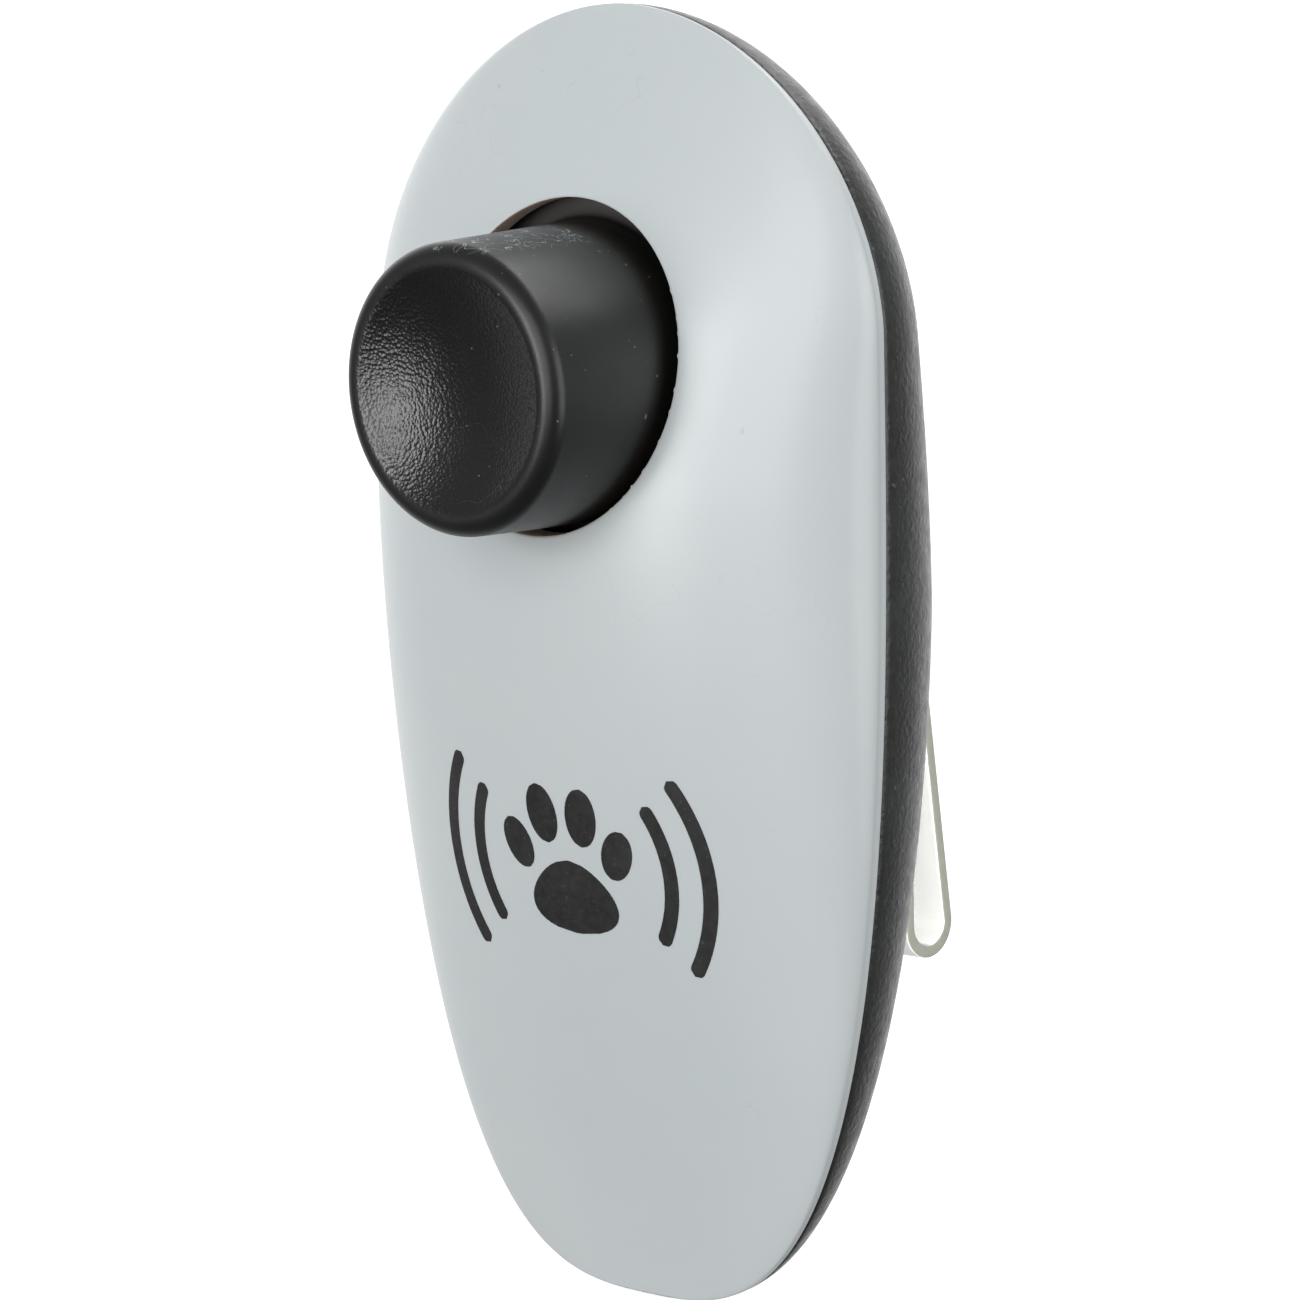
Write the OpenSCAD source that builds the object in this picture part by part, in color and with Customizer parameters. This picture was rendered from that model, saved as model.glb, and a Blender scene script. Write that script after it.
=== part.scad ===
// Handheld clicker trainer: a domed two-part case with a thumb button, a snapping steel reed
// inside and a bent spring-steel clip on the back.
// +Z runs from the narrow tail to the button end, -Y is the front that faces the user.
// Depths are measured from the datum plane, where the case is widest.
// The origin is the middle of the whole object's box.

/* [Case] */
// Overall length of the case
case_length = 60; // [56:1:66]
// Overall width of the case
case_width = 30.2; // [29:0.2:33]
// Height of the widest section above the middle
widest_z = 15.6; // [14:0.2:17]
// Fullness of the outline above the widest section
head_fullness = 1.89; // [1.8:0.01:2.2]
// Fullness of the outline below the widest section
tail_fullness = 2.92; // [2.5:0.01:3.2]
// Wall thickness of both mouldings
wall = 1.5; // [1.3:0.1:1.8]
// Depth of the joint between the mouldings under the datum plane
rim_y = 0.3; // [0:0.1:0.4]

/* [Front dome] */
// Height of the front moulding's crest over the datum plane
front_depth = 6.8; // [6.6:0.1:7.4]
// Height of the crest above the middle
front_crest_z = 8; // [7:0.1:8.6]
// Softness of the crest, as a share of the distance to the ends
crest_softness = 0.385; // [0.3:0.005:0.5]
// Fullness of the cross-section in the middle
front_crown = 2.05; // [1.9:0.05:2.3]
// Roundness of the cross-section near the parting line
front_shoulder = 1.87; // [1.7:0.01:2]

/* [Back dome] */
// Depth of the back moulding under the datum plane
back_depth = 9.8; // [9.6:0.1:10]
// Height of the deepest point above the middle
back_crest_z = 2.8; // [2:0.1:4]
// Fullness of the lengthwise curve in the middle
back_crown_long = 1.43; // [1.35:0.01:1.7]
// Roundness of the lengthwise curve near the ends
back_shoulder_long = 2.33; // [2:0.01:2.5]
// Fullness of the cross-section in the middle
back_crown = 2.45; // [2.2:0.05:2.7]
// Roundness of the cross-section near the parting line
back_shoulder = 2.3; // [2:0.05:2.6]

/* [Button] */
// Height of the button's axis above the middle
button_z = 13.6; // [13:0.1:14]
// Radius of the barrel at its face
button_r = 6.52; // [6.3:0.02:6.7]
// Height of the button's face over the datum plane
button_reach = 12; // [11.5:0.1:12.2]
// Widening of the barrel from face to flange, for the mould
button_draft = 0.34; // [0.2:0.02:0.4]
// Depth of the dished face
dish_depth = 1.1; // [0.6:0.1:1.4]
// Radius of the roll from the dished face to the barrel
rim_roll = 0.86; // [0.4:0.02:0.88]
// Radius of the hole in the front moulding
hole_r = 7.5; // [7.4:0.02:7.6]
// Height of the hole's centre above the middle; the button sits a little low in it
hole_z = 14; // [13.8:0.1:14.2]
// Full travel of the button
button_travel = 2.6; // [2:0.1:2.6]

/* [Click reed] */
// Thickness of the spring-steel strip
reed_thickness = 0.3; // [0.25:0.05:0.4]
// Width of the strip
reed_width = 9; // [8:0.5:9]
// Depth of the strip under the datum plane
reed_y = 2.6; // [2.5:0.05:2.7]
// Height of the line where the strip starts to bend
reed_bend_z = -5; // [-6:0.5:-4]
// Height of the strip's free tip
reed_tip_z = 16.5; // [15.5:0.5:17]

/* [Clip] */
// Thickness of the clip's sheet steel
clip_thickness = 0.6; // [0.5:0.05:0.6]
// Width of the clip
clip_width = 15; // [13:0.5:15]
// Depth of the clip's seat under the datum plane
clip_seat = 10.1; // [10:0.05:10.2]
// Distance between the two legs at the bend
clip_gap = 2.1; // [2:0.1:2.4]
// Height of the bend's centre
clip_bend_z = -13.4; // [-14:0.1:-12.5]
// Height of the fixed leg's top edge
clip_top_z = 11; // [10.5:0.5:12]
// Height of the line where the free leg presses on the fixed leg
clip_touch_z = 2; // [1:0.5:3]

/* [Screws] */
// Radius of the threaded shanks
screw_r = 1; // [0.9:0.05:1]
// Radius of the screw heads
screw_head_r = 1.8; // [1.7:0.05:1.9]
// Heights of the upper and lower case screw
case_screw_z = [25.4, -22]; // [-22.6:0.2:25.4]

/* [Hidden] */
$fn = 64;
eps = 0.01;

// the datum plane sits where the box from button face to clip bend is centred on the origin
clip_reach = clip_seat + 2 * clip_thickness + clip_gap;
datum_y = (button_reach - clip_reach) / 2;

// the case as a grid: rings from the crest to the rim, points once round the outline
rings = 13;
quarter = 20;
half_length = case_length / 2;

// features inside the case end this far under its outer surface
trim_inset = 0.5;
// a lip on the front moulding registers it in the back one
lip_clearance = 0.12;
lip_thickness = 0.7;
lip_reach = 0.8;
lip_root = 1.4;

// button
flange_r = 8.8;
flange_front = -1.9;
flange_thickness = 1.2;
barrel_bore_r = 5.1;
face_thickness = 1.5;
rim_width = 0.9;
stem_r = 1.6;
web = 0.8;
stem_tip = reed_y - reed_thickness / 2 - 0.05;
guide_rib_r = 0.9;
guide_clearance = 0.07;
guide_end = 2;
stop_x = 7;
stop_r = 1.1;
stop_gap = 0.05;

// reed and its mounting
reed_screw_z = [-7.5, -12];
reed_end_z = -14.4;
clamp_thickness = 0.8;
dimple_r = 2.8;
dimple_height = 0.55;
dimple_z = 2.5;
boss_r = 2.2;
hinge_clearance = 0.05;

// case screws
head_height = 1.2;
seat_y = 2.4;
joint_y = 1.2;
screw_length = 3.2;
counterbore_r = screw_head_r + 0.2;
seat_boss_r = counterbore_r + 0.75;

// clip
bend_r = clip_gap / 2;
clip_centre_y = clip_seat + clip_thickness + bend_r;
clip_hinge_gap = 15;
clip_half = clip_width / 2;
flare_angle = 38;
flare_length = 2.4;
rivet_x = 4.2;
rivet_z = 7.8;
rivet_r = 1.1;
rivet_head_r = 2;
rivet_head_height = 0.7;
pad_inner_y = 7.1;
pad_bottom_z = -5.5;
pad_margin = 0.3;
washer_r = 2;
washer_thickness = 0.5;

shell_grey = "#ced5d6";
shell_black = "#3b3d3c";
button_black = "#2e2f2f";
steel = "#b8b7aa";

// ---------- the case's shape ----------

// distance from z to the crest as a share of the distance from the crest to that end
function share(z, crest, half) = min(1, z > crest ? (z - crest) / (half - crest) : (crest - z) / (half + crest));

// half of the case's width at height z
function outline_x(z, inset) =
    let (n = z > widest_z ? head_fullness : tail_fullness)
    (case_width / 2 - inset) * pow(max(0, 1 - pow(share(z, widest_z, half_length - inset), n)), 1 / n);

// how far across the section a point lies, from 0 in the middle to 1 on the outline
function across(x, z, inset) = min(1, abs(x) / max(outline_x(z, inset), eps / 10));

// front surface: a soft-crested ridge lengthwise, rounded shoulders crosswise
function front_long(z, inset) =
    let (s = share(z, front_crest_z, half_length - inset), c = crest_softness)
    1 - (sqrt(s * s + c * c) - c) / (sqrt(1 + c * c) - c);
function front_y(x, z, inset) =
    -(front_depth - inset) * front_long(z, inset)
    * pow(1 - pow(across(x, z, inset), front_crown), 1 / front_shoulder);

// back surface: a fuller superellipse both ways
function back_long(z, inset) =
    pow(1 - pow(share(z, back_crest_z, half_length - inset), back_crown_long), 1 / back_shoulder_long);
function back_y(x, z, inset) =
    (back_depth - inset) * back_long(z, inset)
    * pow(1 - pow(across(x, z, inset), back_crown), 1 / back_shoulder);

// one point of the outline: quadrants of a superellipse, above and below the widest section
function outline_point(i, inset) =
    let (a = 90 * i / quarter, n = sin(a) >= 0 ? head_fullness : tail_fullness,
         up = sin(a) >= 0 ? half_length - inset - widest_z : half_length - inset + widest_z)
    [sign(cos(a)) * (case_width / 2 - inset) * pow(abs(cos(a)), 2 / n),
     widest_z + sign(sin(a)) * up * pow(abs(sin(a)), 2 / n)];

function outline(inset) = [for (i = [0 : 4 * quarter - 1]) outline_point(i, inset)];

// grid point of a dome: ring 0 is the crest's point, the last ring is the rim on the joint line
function dome_point(front, r, i, inset) =
    let (crest = front ? front_crest_z : back_crest_z, s = sin(90 * r / rings), o = outline_point(i, inset),
         x = s * o[0], z = crest + s * (o[1] - crest))
    [x, r == rings ? rim_y : front ? front_y(x, z, inset) : back_y(x, z, inset), z];

function dome_points(front, inset) = concat(
    [dome_point(front, 0, 0, inset)],
    [for (r = [1 : rings]) for (i = [0 : 4 * quarter - 1]) dome_point(front, r, i, inset)]);

// triangles of that grid, starting at point "first"; flip turns them over
function dome_faces(first, flip) =
    let (n = 4 * quarter,
         at = function (r, i) first + 1 + (r - 1) * n + i % n,
         fan = [for (i = [0 : n - 1]) [first, at(1, i), at(1, i + 1)]],
         quads = [for (r = [1 : rings - 1]) for (i = [0 : n - 1])
                  each [[at(r, i), at(r + 1, i), at(r + 1, i + 1)], [at(r, i), at(r + 1, i + 1), at(r, i + 1)]]])
    [for (f = concat(fan, quads)) flip ? [f[2], f[1], f[0]] : f];

// a solid dome, closed by a flat face at the rim
module solid_dome(front, inset) {
    n = 4 * quarter;
    count = 1 + rings * n;
    rim = [for (i = [0 : n - 1]) count - n + i];
    back_rim = [for (i = [n - 1 : -1 : 0]) rim[i]];
    polyhedron(dome_points(front, inset), concat(dome_faces(0, !front), [front ? rim : back_rim]));
}

// a moulding: an outer and an inner dome joined by the flat rim
module hollow_dome(front) {
    n = 4 * quarter;
    count = 1 + rings * n;
    outer = function (i) count - n + i % n;
    inner = function (i) 2 * count - n + i % n;
    rim = [for (i = [0 : n - 1])
           each [[outer(i), inner(i), inner(i + 1)], [outer(i), inner(i + 1), outer(i + 1)]]];
    polyhedron(concat(dome_points(front, 0), dome_points(front, wall)),
               concat(dome_faces(0, !front), dome_faces(count, front),
                      [for (f = rim) front ? [f[2], f[1], f[0]] : f]));
}

// ---------- helpers ----------

// moves a piece drawn from the datum plane into the object's frame
module placed() translate([0, datum_y, 0]) children();

// a rod along Y from one depth to another
module rod(r, from_y, to_y, x = 0, z = 0) translate([x, to_y, z]) rotate([90, 0, 0]) cylinder(r = r, h = to_y - from_y);

// a flat plate between two depths, from a shape drawn in X and Z
module plate(from_y, to_y) translate([0, to_y, 0]) rotate([90, 0, 0]) linear_extrude(to_y - from_y) children();

// a rectangle with rounded corners, centred on X, between two heights
module rounded_rectangle(width, low, high, r) {
    translate([-width / 2 + r, low]) square([width - 2 * r, high - low]);
    translate([-width / 2, low + r]) square([width, high - low - 2 * r]);
    for (x = [-width / 2 + r, width / 2 - r], z = [low + r, high - r]) translate([x, z]) circle(r);
}

// a screw driven along Y: shank, pan head on the given seat and a cross recess
module screw(x, z, head_seat, head_out, length, r, head_r) {
    tip = head_seat - head_out * length;
    top = head_seat + head_out * head_height;
    difference() {
        union() {
            rod(r, min(tip, head_seat), max(tip, head_seat), x, z);
            rod(head_r, min(top, head_seat), max(top, head_seat), x, z);
        }
        for (a = [0, 90]) translate([x, top, z]) rotate([0, a, 0])
            cube([head_r * 1.1, 1.2, 0.36], center = true);
    }
}

// ---------- case ----------

module front_features() {
    // six ribs that guide the button's flange
    for (a = [0 : 60 : 300])
        rod(guide_rib_r, -front_depth, guide_end,
            (flange_r + guide_clearance + guide_rib_r) * cos(a),
            button_z + (flange_r + guide_clearance + guide_rib_r) * sin(a));
    for (z = case_screw_z) rod(boss_r, -front_depth, joint_y, 0, z);
    register_lip();
}

module register_lip() plate(-lip_root, lip_reach) difference() {
    polygon(outline(wall + lip_clearance));
    polygon(outline(wall + lip_clearance + lip_thickness));
}

module front_shell() color(shell_grey) placed() difference() {
    union() {
        hollow_dome(true);
        intersection() {
            front_features();
            union() {
                solid_dome(true, trim_inset);
                plate(-eps, guide_end) square(case_length, center = true);
            }
        }
    }
    rod(hole_r, -front_depth - 1, flange_front, 0, hole_z);
    for (z = case_screw_z) rod(screw_r, seat_y - screw_length - 0.2, joint_y + 1, 0, z);
}

module back_features() {
    for (z = case_screw_z) rod(seat_boss_r, joint_y, back_depth, 0, z);
    // two bosses and a web that carry the reed
    for (z = reed_screw_z) rod(boss_r, reed_y + reed_thickness / 2, back_depth, 0, z);
    translate([-web, reed_y + reed_thickness / 2, reed_screw_z[1]])
        cube([2 * web, back_depth, reed_screw_z[0] - reed_screw_z[1]]);
    // two posts that stop the button's flange
    for (x = [-stop_x, stop_x])
        rod(stop_r, flange_front + flange_thickness + button_travel + stop_gap, back_depth, x, button_z);
}

module clip_pad() plate(pad_inner_y, clip_seat)
    rounded_rectangle(clip_width + 2 * pad_margin, pad_bottom_z, clip_top_z + pad_margin, 1.5);

module back_shell() color(shell_black) placed() difference() {
    union() {
        hollow_dome(false);
        intersection() {
            back_features();
            solid_dome(false, trim_inset);
        }
        clip_pad();
    }
    for (z = case_screw_z) {
        rod(screw_r + 0.1, 0, back_depth, 0, z);
        rod(counterbore_r, seat_y, back_depth + 1, 0, z);
    }
    for (z = reed_screw_z) rod(screw_r, 0, reed_y + screw_length, 0, z);
    for (x = [-rivet_x, rivet_x]) rod(rivet_r, pad_inner_y - 1, clip_seat + 1, x, rivet_z);
}

module case_screws() color(steel) placed()
    for (z = case_screw_z) screw(0, z, seat_y, 1, screw_length, screw_r, screw_head_r);

// ---------- button ----------

// half section of the cap: dished face, rounded rim, drafted barrel, flange and the bore under the face
function button_section() =
    let (dish_r = button_r - rim_width, base = -flange_front)
    concat(
        [for (k = [0 : 10]) let (r = dish_r * k / 10)
            [r, button_reach - dish_depth * (1 - pow(r / dish_r, 2)) - 0.05]],
        [for (a = [90 : -15 : 0])
            [button_r - rim_roll + rim_roll * cos(a), button_reach - rim_roll + rim_roll * sin(a)]],
        [[button_r + button_draft, base], [flange_r, base], [flange_r, base - flange_thickness],
         [barrel_bore_r, base - flange_thickness],
         [barrel_bore_r - button_draft, button_reach - dish_depth - face_thickness],
         [0, button_reach - dish_depth - face_thickness]]);

module button() color(button_black) placed() translate([0, 0, button_z]) {
    roof = -(button_reach - dish_depth - face_thickness);
    rotate([90, 0, 0]) rotate_extrude() polygon(button_section());
    // the stem that presses the reed, with a round tip
    rod(stem_r, roof - 0.3, stem_tip - stem_r);
    translate([0, stem_tip - stem_r, 0]) sphere(stem_r);
    // four webs between stem and barrel
    for (a = [0 : 90 : 270]) rotate([0, a, 0])
        translate([stem_r - 0.3, roof - 0.3, -web / 2])
            cube([barrel_bore_r - stem_r + 0.5, -roof + flange_front, web]);
}

// ---------- click reed ----------

module reed_root() color(steel) placed() plate(reed_y - reed_thickness / 2, reed_y + reed_thickness / 2)
    difference() {
        translate([-reed_width / 2, reed_end_z])
            square([reed_width, reed_bend_z - hinge_clearance - reed_end_z]);
        for (z = reed_screw_z) translate([0, z]) circle(screw_r + 0.05);
    }

module reed_blade() color(steel) placed() {
    low = reed_y - reed_thickness / 2;
    high = reed_y + reed_thickness / 2;
    ball_r = (dimple_r * dimple_r + dimple_height * dimple_height) / (2 * dimple_height);
    difference() {
        plate(low, high) translate([0, reed_bend_z + hinge_clearance]) difference() {
            rounded_rectangle(reed_width, -reed_width / 2, reed_tip_z - reed_bend_z - hinge_clearance, 2);
            translate([-reed_width, -reed_width]) square([2 * reed_width, reed_width]);
        }
        rod(dimple_r, low - 1, high + 1, 0, dimple_z);
    }
    // the pressed dimple that snaps through: a spherical cap of the same sheet
    intersection() {
        rod(dimple_r, low - dimple_height, high, 0, dimple_z);
        translate([0, low - dimple_height + ball_r, dimple_z]) difference() {
            sphere(ball_r);
            sphere(ball_r - reed_thickness);
        }
    }
}

module reed_clamp() color(steel) placed()
    plate(reed_y - reed_thickness / 2 - clamp_thickness, reed_y - reed_thickness / 2) difference() {
        rounded_rectangle(reed_width, reed_end_z, reed_bend_z - hinge_clearance, 1);
        for (z = reed_screw_z) translate([0, z]) circle(screw_r + 0.05);
    }

module reed_screws() color(steel) placed()
    for (z = reed_screw_z)
        screw(0, z, reed_y - reed_thickness / 2 - clamp_thickness, -1, screw_length, screw_r, screw_head_r);

// ---------- clip ----------

// part of the bend between two angles, measured from the fixed leg through the lowest point
module bend(from_angle, to_angle) translate([0, clip_centre_y, clip_bend_z]) rotate([0, 90, 0])
    translate([0, 0, -clip_half]) linear_extrude(clip_width) difference() {
        intersection() {
            circle(bend_r + clip_thickness);
            polygon(concat([[0, 0]], [for (k = [0 : 6]) let (a = from_angle + (to_angle - from_angle) * k / 6)
                                      3 * (bend_r + clip_thickness) * [sin(a), -cos(a)]]));
        }
        circle(bend_r);
    }

module clip_base() color(steel) placed() {
    plate(clip_seat, clip_seat + clip_thickness) difference() {
        rounded_rectangle(clip_width, clip_bend_z - 3, clip_top_z, 2);
        translate([-clip_width, clip_bend_z - 4]) square([2 * clip_width, 4]);
        for (x = [-rivet_x, rivet_x]) translate([x, rivet_z]) circle(rivet_r);
    }
    bend(0, 90 - clip_hinge_gap);
}

// the free leg leans in until it rests on the fixed leg, then its end flares out again
arm_top_y = clip_seat + clip_thickness;
arm_root = [clip_centre_y + bend_r, clip_bend_z];
arm_lean = atan2(arm_root[0] - arm_top_y, clip_touch_z - arm_root[1]);
function arm_side(offset) = [
    [arm_root[0] + offset, arm_root[1]],
    [arm_top_y + offset + eps, clip_touch_z],
    [arm_top_y + offset * cos(flare_angle) + flare_length * sin(flare_angle) + eps,
     clip_touch_z + flare_length * cos(flare_angle) - offset * sin(flare_angle)]];

module clip_arm() color(steel) placed() {
    bend(90, 180);
    rotate([0, -90, 0]) translate([0, 0, -clip_half]) linear_extrude(clip_width)
        polygon([for (p = concat(arm_side(0), [for (k = [2 : -1 : 0]) arm_side(clip_thickness)[k]])) [p[1], p[0]]]);
}

module clip_rivets() color(steel) placed()
    for (x = [-rivet_x, rivet_x]) {
        rod(rivet_r, pad_inner_y - washer_thickness, clip_seat + clip_thickness, x, rivet_z);
        // domed head outside, flat closing head inside
        intersection() {
            ball_r = (rivet_head_r * rivet_head_r + rivet_head_height * rivet_head_height) / (2 * rivet_head_height);
            translate([x, clip_seat + clip_thickness + rivet_head_height - ball_r, rivet_z]) sphere(ball_r);
            rod(rivet_head_r, clip_seat + clip_thickness, clip_seat + clip_thickness + 1, x, rivet_z);
        }
        rod(rivet_r * 1.5, pad_inner_y - washer_thickness - 0.6, pad_inner_y - washer_thickness, x, rivet_z);
    }

module rivet_washers() color(steel) placed()
    for (x = [-rivet_x, rivet_x]) difference() {
        rod(washer_r, pad_inner_y - washer_thickness, pad_inner_y, x, rivet_z);
        rod(rivet_r, pad_inner_y - 2, pad_inner_y + 1, x, rivet_z);
    }

front_shell();
back_shell();
button();
reed_root();
reed_blade();
reed_clamp();
reed_screws();
case_screws();
clip_base();
clip_arm();
clip_rivets();
rivet_washers();
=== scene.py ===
# Looks of a handheld clicker trainer: domed two-part case, thumb button, click reed and belt clip.
import math

import bmesh
import bpy
import numpy as np
from mathutils import Matrix, Vector


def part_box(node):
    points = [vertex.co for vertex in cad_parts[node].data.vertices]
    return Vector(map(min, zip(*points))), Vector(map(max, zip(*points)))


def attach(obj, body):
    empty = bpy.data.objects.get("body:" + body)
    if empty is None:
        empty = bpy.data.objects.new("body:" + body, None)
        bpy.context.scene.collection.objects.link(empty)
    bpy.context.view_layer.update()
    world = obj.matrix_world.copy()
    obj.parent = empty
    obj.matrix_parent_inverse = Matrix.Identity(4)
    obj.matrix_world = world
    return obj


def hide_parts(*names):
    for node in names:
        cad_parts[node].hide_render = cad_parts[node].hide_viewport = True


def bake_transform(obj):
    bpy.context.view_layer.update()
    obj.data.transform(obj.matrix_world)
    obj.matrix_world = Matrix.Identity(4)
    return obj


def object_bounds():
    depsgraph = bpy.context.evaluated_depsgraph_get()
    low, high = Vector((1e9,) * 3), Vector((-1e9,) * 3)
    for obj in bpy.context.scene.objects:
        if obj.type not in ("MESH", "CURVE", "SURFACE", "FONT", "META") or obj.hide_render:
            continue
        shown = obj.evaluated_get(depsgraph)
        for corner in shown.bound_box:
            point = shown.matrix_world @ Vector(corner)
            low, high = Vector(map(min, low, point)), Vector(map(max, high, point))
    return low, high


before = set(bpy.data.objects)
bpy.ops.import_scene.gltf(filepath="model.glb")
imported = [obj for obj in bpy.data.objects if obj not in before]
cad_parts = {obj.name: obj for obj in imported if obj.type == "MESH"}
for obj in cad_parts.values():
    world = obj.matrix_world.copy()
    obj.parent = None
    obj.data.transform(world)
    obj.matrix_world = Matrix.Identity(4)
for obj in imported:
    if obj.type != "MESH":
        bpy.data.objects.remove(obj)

cad_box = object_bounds()
scene = bpy.context.scene
MM = 0.001

# ---------- sizes, in millimetres, drawn from the datum plane (y = 0), where the case is widest ----------

case_lo, case_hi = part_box("back_shell")
RIM_Y = 0.3  # depth of the joint between the mouldings
SEAM = 0.008  # gap between them
DATUM_Y = case_lo.y / MM - RIM_Y
HALF_LENGTH = (case_hi.z - case_lo.z) / 2 / MM
HALF_WIDTH = (case_hi.x - case_lo.x) / 2 / MM
WALL = 1.5
RIM_START = 0.9985  # share of the way out at which a dome ends and its rounded rim starts

# outline and domes
WIDEST_Z = 15.6
HEAD_FULLNESS = 1.89
TAIL_FULLNESS = 2.92
FRONT_DEPTH = 6.8
FRONT_CREST_Z = 8.0
CREST_SOFTNESS = 0.385
FRONT_CROWN = 2.05
FRONT_SHOULDER = 1.87
BACK_DEPTH = 9.8
BACK_CREST_Z = 2.8
BACK_LONG = (1.43, 2.33)
BACK_CROSS = (2.45, 2.3)

# button
button_lo, button_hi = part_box("button")
BUTTON_Z = (button_lo.z + button_hi.z) / 2 / MM
BUTTON_REACH = DATUM_Y - button_lo.y / MM
BUTTON_R = 6.6
BUTTON_BASE_R = 6.86
BUTTON_DRAFT = 0.34
DISH_DEPTH = 1.1
RIM_ROLL = 0.86
HOLE_R = 7.5
HOLE_Z = 14.0
FLANGE_R = (button_hi.z - button_lo.z) / 2 / MM
FLANGE_FRONT = -1.9
FLANGE_THICKNESS = 1.2
STEM_R = 1.6
BORE_R = 5.1
FACE_THICKNESS = 1.5

# click reed and what holds it
REED_Y = 2.6
REED_THICKNESS = 0.3
REED_HALF_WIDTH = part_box("reed_blade")[1].x / MM
REED_END_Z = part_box("reed_root")[0].z / MM
REED_TIP_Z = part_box("reed_blade")[1].z / MM
REED_BEND_Z = -5.0
REED_SCREW_Z = (-7.5, -12.0)
CLAMP_THICKNESS = 0.8
DIMPLE_R = 2.8
DIMPLE_HEIGHT = 0.55
DIMPLE_Z = 2.5
BOSS_R = 2.2
TIP_CORNER = 2.0

# screws
SCREW_R = 1.0
SCREW_LENGTH = 3.2
THREAD_PITCH = 0.6
THREAD_CORE = 0.78  # share of the screw's radius
HEAD_R = 1.8
HEAD_HEIGHT = 1.2
CASE_SCREW_Z = (25.4, -22.0)
SEAT_Y = 2.4
JOINT_Y = 1.2

# clip
CLIP_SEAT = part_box("clip_base")[0].y / MM - DATUM_Y
CLIP_THICKNESS = 0.6
CLIP_GAP = 2.1
CLIP_BEND_Z = -13.4
CLIP_TOP_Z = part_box("clip_base")[1].z / MM
CLIP_HALF_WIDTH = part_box("clip_base")[1].x / MM
CLIP_TOUCH_Z = 2.0
SHEET_EDGE = 0.1  # radius of its deburred long edges
FLARE_ANGLE = math.radians(38)
FLARE_LENGTH = 2.4
RIVET_X = 4.2
RIVET_Z = 7.8
RIVET_R = 1.1
RIVET_HEAD_R = 2.0
RIVET_HEAD_HEIGHT = 0.7
PAD_INNER_Y = 7.1
PAD_MARGIN = 0.3
PAD_HALF_WIDTH = CLIP_HALF_WIDTH + PAD_MARGIN
PAD_Z = (-5.5, CLIP_TOP_Z + PAD_MARGIN)
WASHER_R = 2.0
WASHER_THICKNESS = 0.5


# ---------- the case's shape ----------

def share(z, crest, half):
    """How far z is from the crest, from 0 there to 1 at the end of the case."""
    up = (z - crest) / (half - crest)
    down = (crest - z) / (half + crest)
    return np.clip(np.where(z > crest, up, down), 0, 1)


def outline_x(z, inset):
    """Half of the case's width at height z."""
    n = np.where(z > WIDEST_Z, HEAD_FULLNESS, TAIL_FULLNESS)
    return (HALF_WIDTH - inset) * (1 - share(z, WIDEST_Z, HALF_LENGTH - inset) ** n) ** (1 / n)


def across(x, z, inset):
    """How far x is from the middle, from 0 there to 1 at the outline."""
    return np.clip(np.abs(x) / np.maximum(outline_x(z, inset), 1e-6), 0, 1)


def front_y(x, z, inset=0.0):
    """Depth of the front dome, or of its inner face when inset by the wall."""
    s = share(z, FRONT_CREST_Z, HALF_LENGTH - inset)
    c = CREST_SOFTNESS
    lengthwise = 1 - (np.sqrt(s * s + c * c) - c) / (math.sqrt(1 + c * c) - c)
    crosswise = (1 - across(x, z, inset) ** FRONT_CROWN) ** (1 / FRONT_SHOULDER)
    return -(FRONT_DEPTH - inset) * lengthwise * crosswise


def back_y(x, z, inset):
    """Depth of the back dome, or of its inner face when inset by the wall."""
    s = share(z, BACK_CREST_Z, HALF_LENGTH - inset)
    lengthwise = (1 - s ** BACK_LONG[0]) ** (1 / BACK_LONG[1])
    crosswise = (1 - across(x, z, inset) ** BACK_CROSS[0]) ** (1 / BACK_CROSS[1])
    return (BACK_DEPTH - inset) * lengthwise * crosswise


def outline_at(a, inset):
    """Outline points (x, z) at parameter angles a: half superellipses above and below the widest line."""
    n = np.where(np.sin(a) >= 0, HEAD_FULLNESS, TAIL_FULLNESS)
    up = np.where(np.sin(a) >= 0, HALF_LENGTH - inset - WIDEST_Z, HALF_LENGTH - inset + WIDEST_Z)
    x = np.sign(np.cos(a)) * (HALF_WIDTH - inset) * np.abs(np.cos(a)) ** (2 / n)
    z = WIDEST_Z + np.sign(np.sin(a)) * up * np.abs(np.sin(a)) ** (2 / n)
    return np.stack([x, z], 1)


def even_angles(count):
    """Parameter angles that step evenly along the outline."""
    a = np.linspace(0, 2 * math.pi, 8001)
    p = outline_at(a, 0)
    run = np.concatenate([[0], np.cumsum(np.hypot(*np.diff(p, axis=0).T))])
    return np.interp(np.arange(count) / count * run[-1], run, a)


OUTLINE_POINTS = 456
ANGLES = even_angles(OUTLINE_POINTS)


# ---------- mesh helpers ----------

def solid(name, points, faces):
    """A closed mesh object in millimetres, its faces turned outward."""
    bm = bmesh.new()
    verts = [bm.verts.new(p) for p in points]
    for f in faces:
        bm.faces.new([verts[i] for i in f])
    if bm.calc_volume(signed=True) < 0:
        bmesh.ops.reverse_faces(bm, faces=bm.faces[:])
    mesh = bpy.data.meshes.new(name)
    bm.to_mesh(mesh)
    bm.free()
    obj = bpy.data.objects.new(name, mesh)
    scene.collection.objects.link(obj)
    return obj


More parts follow.
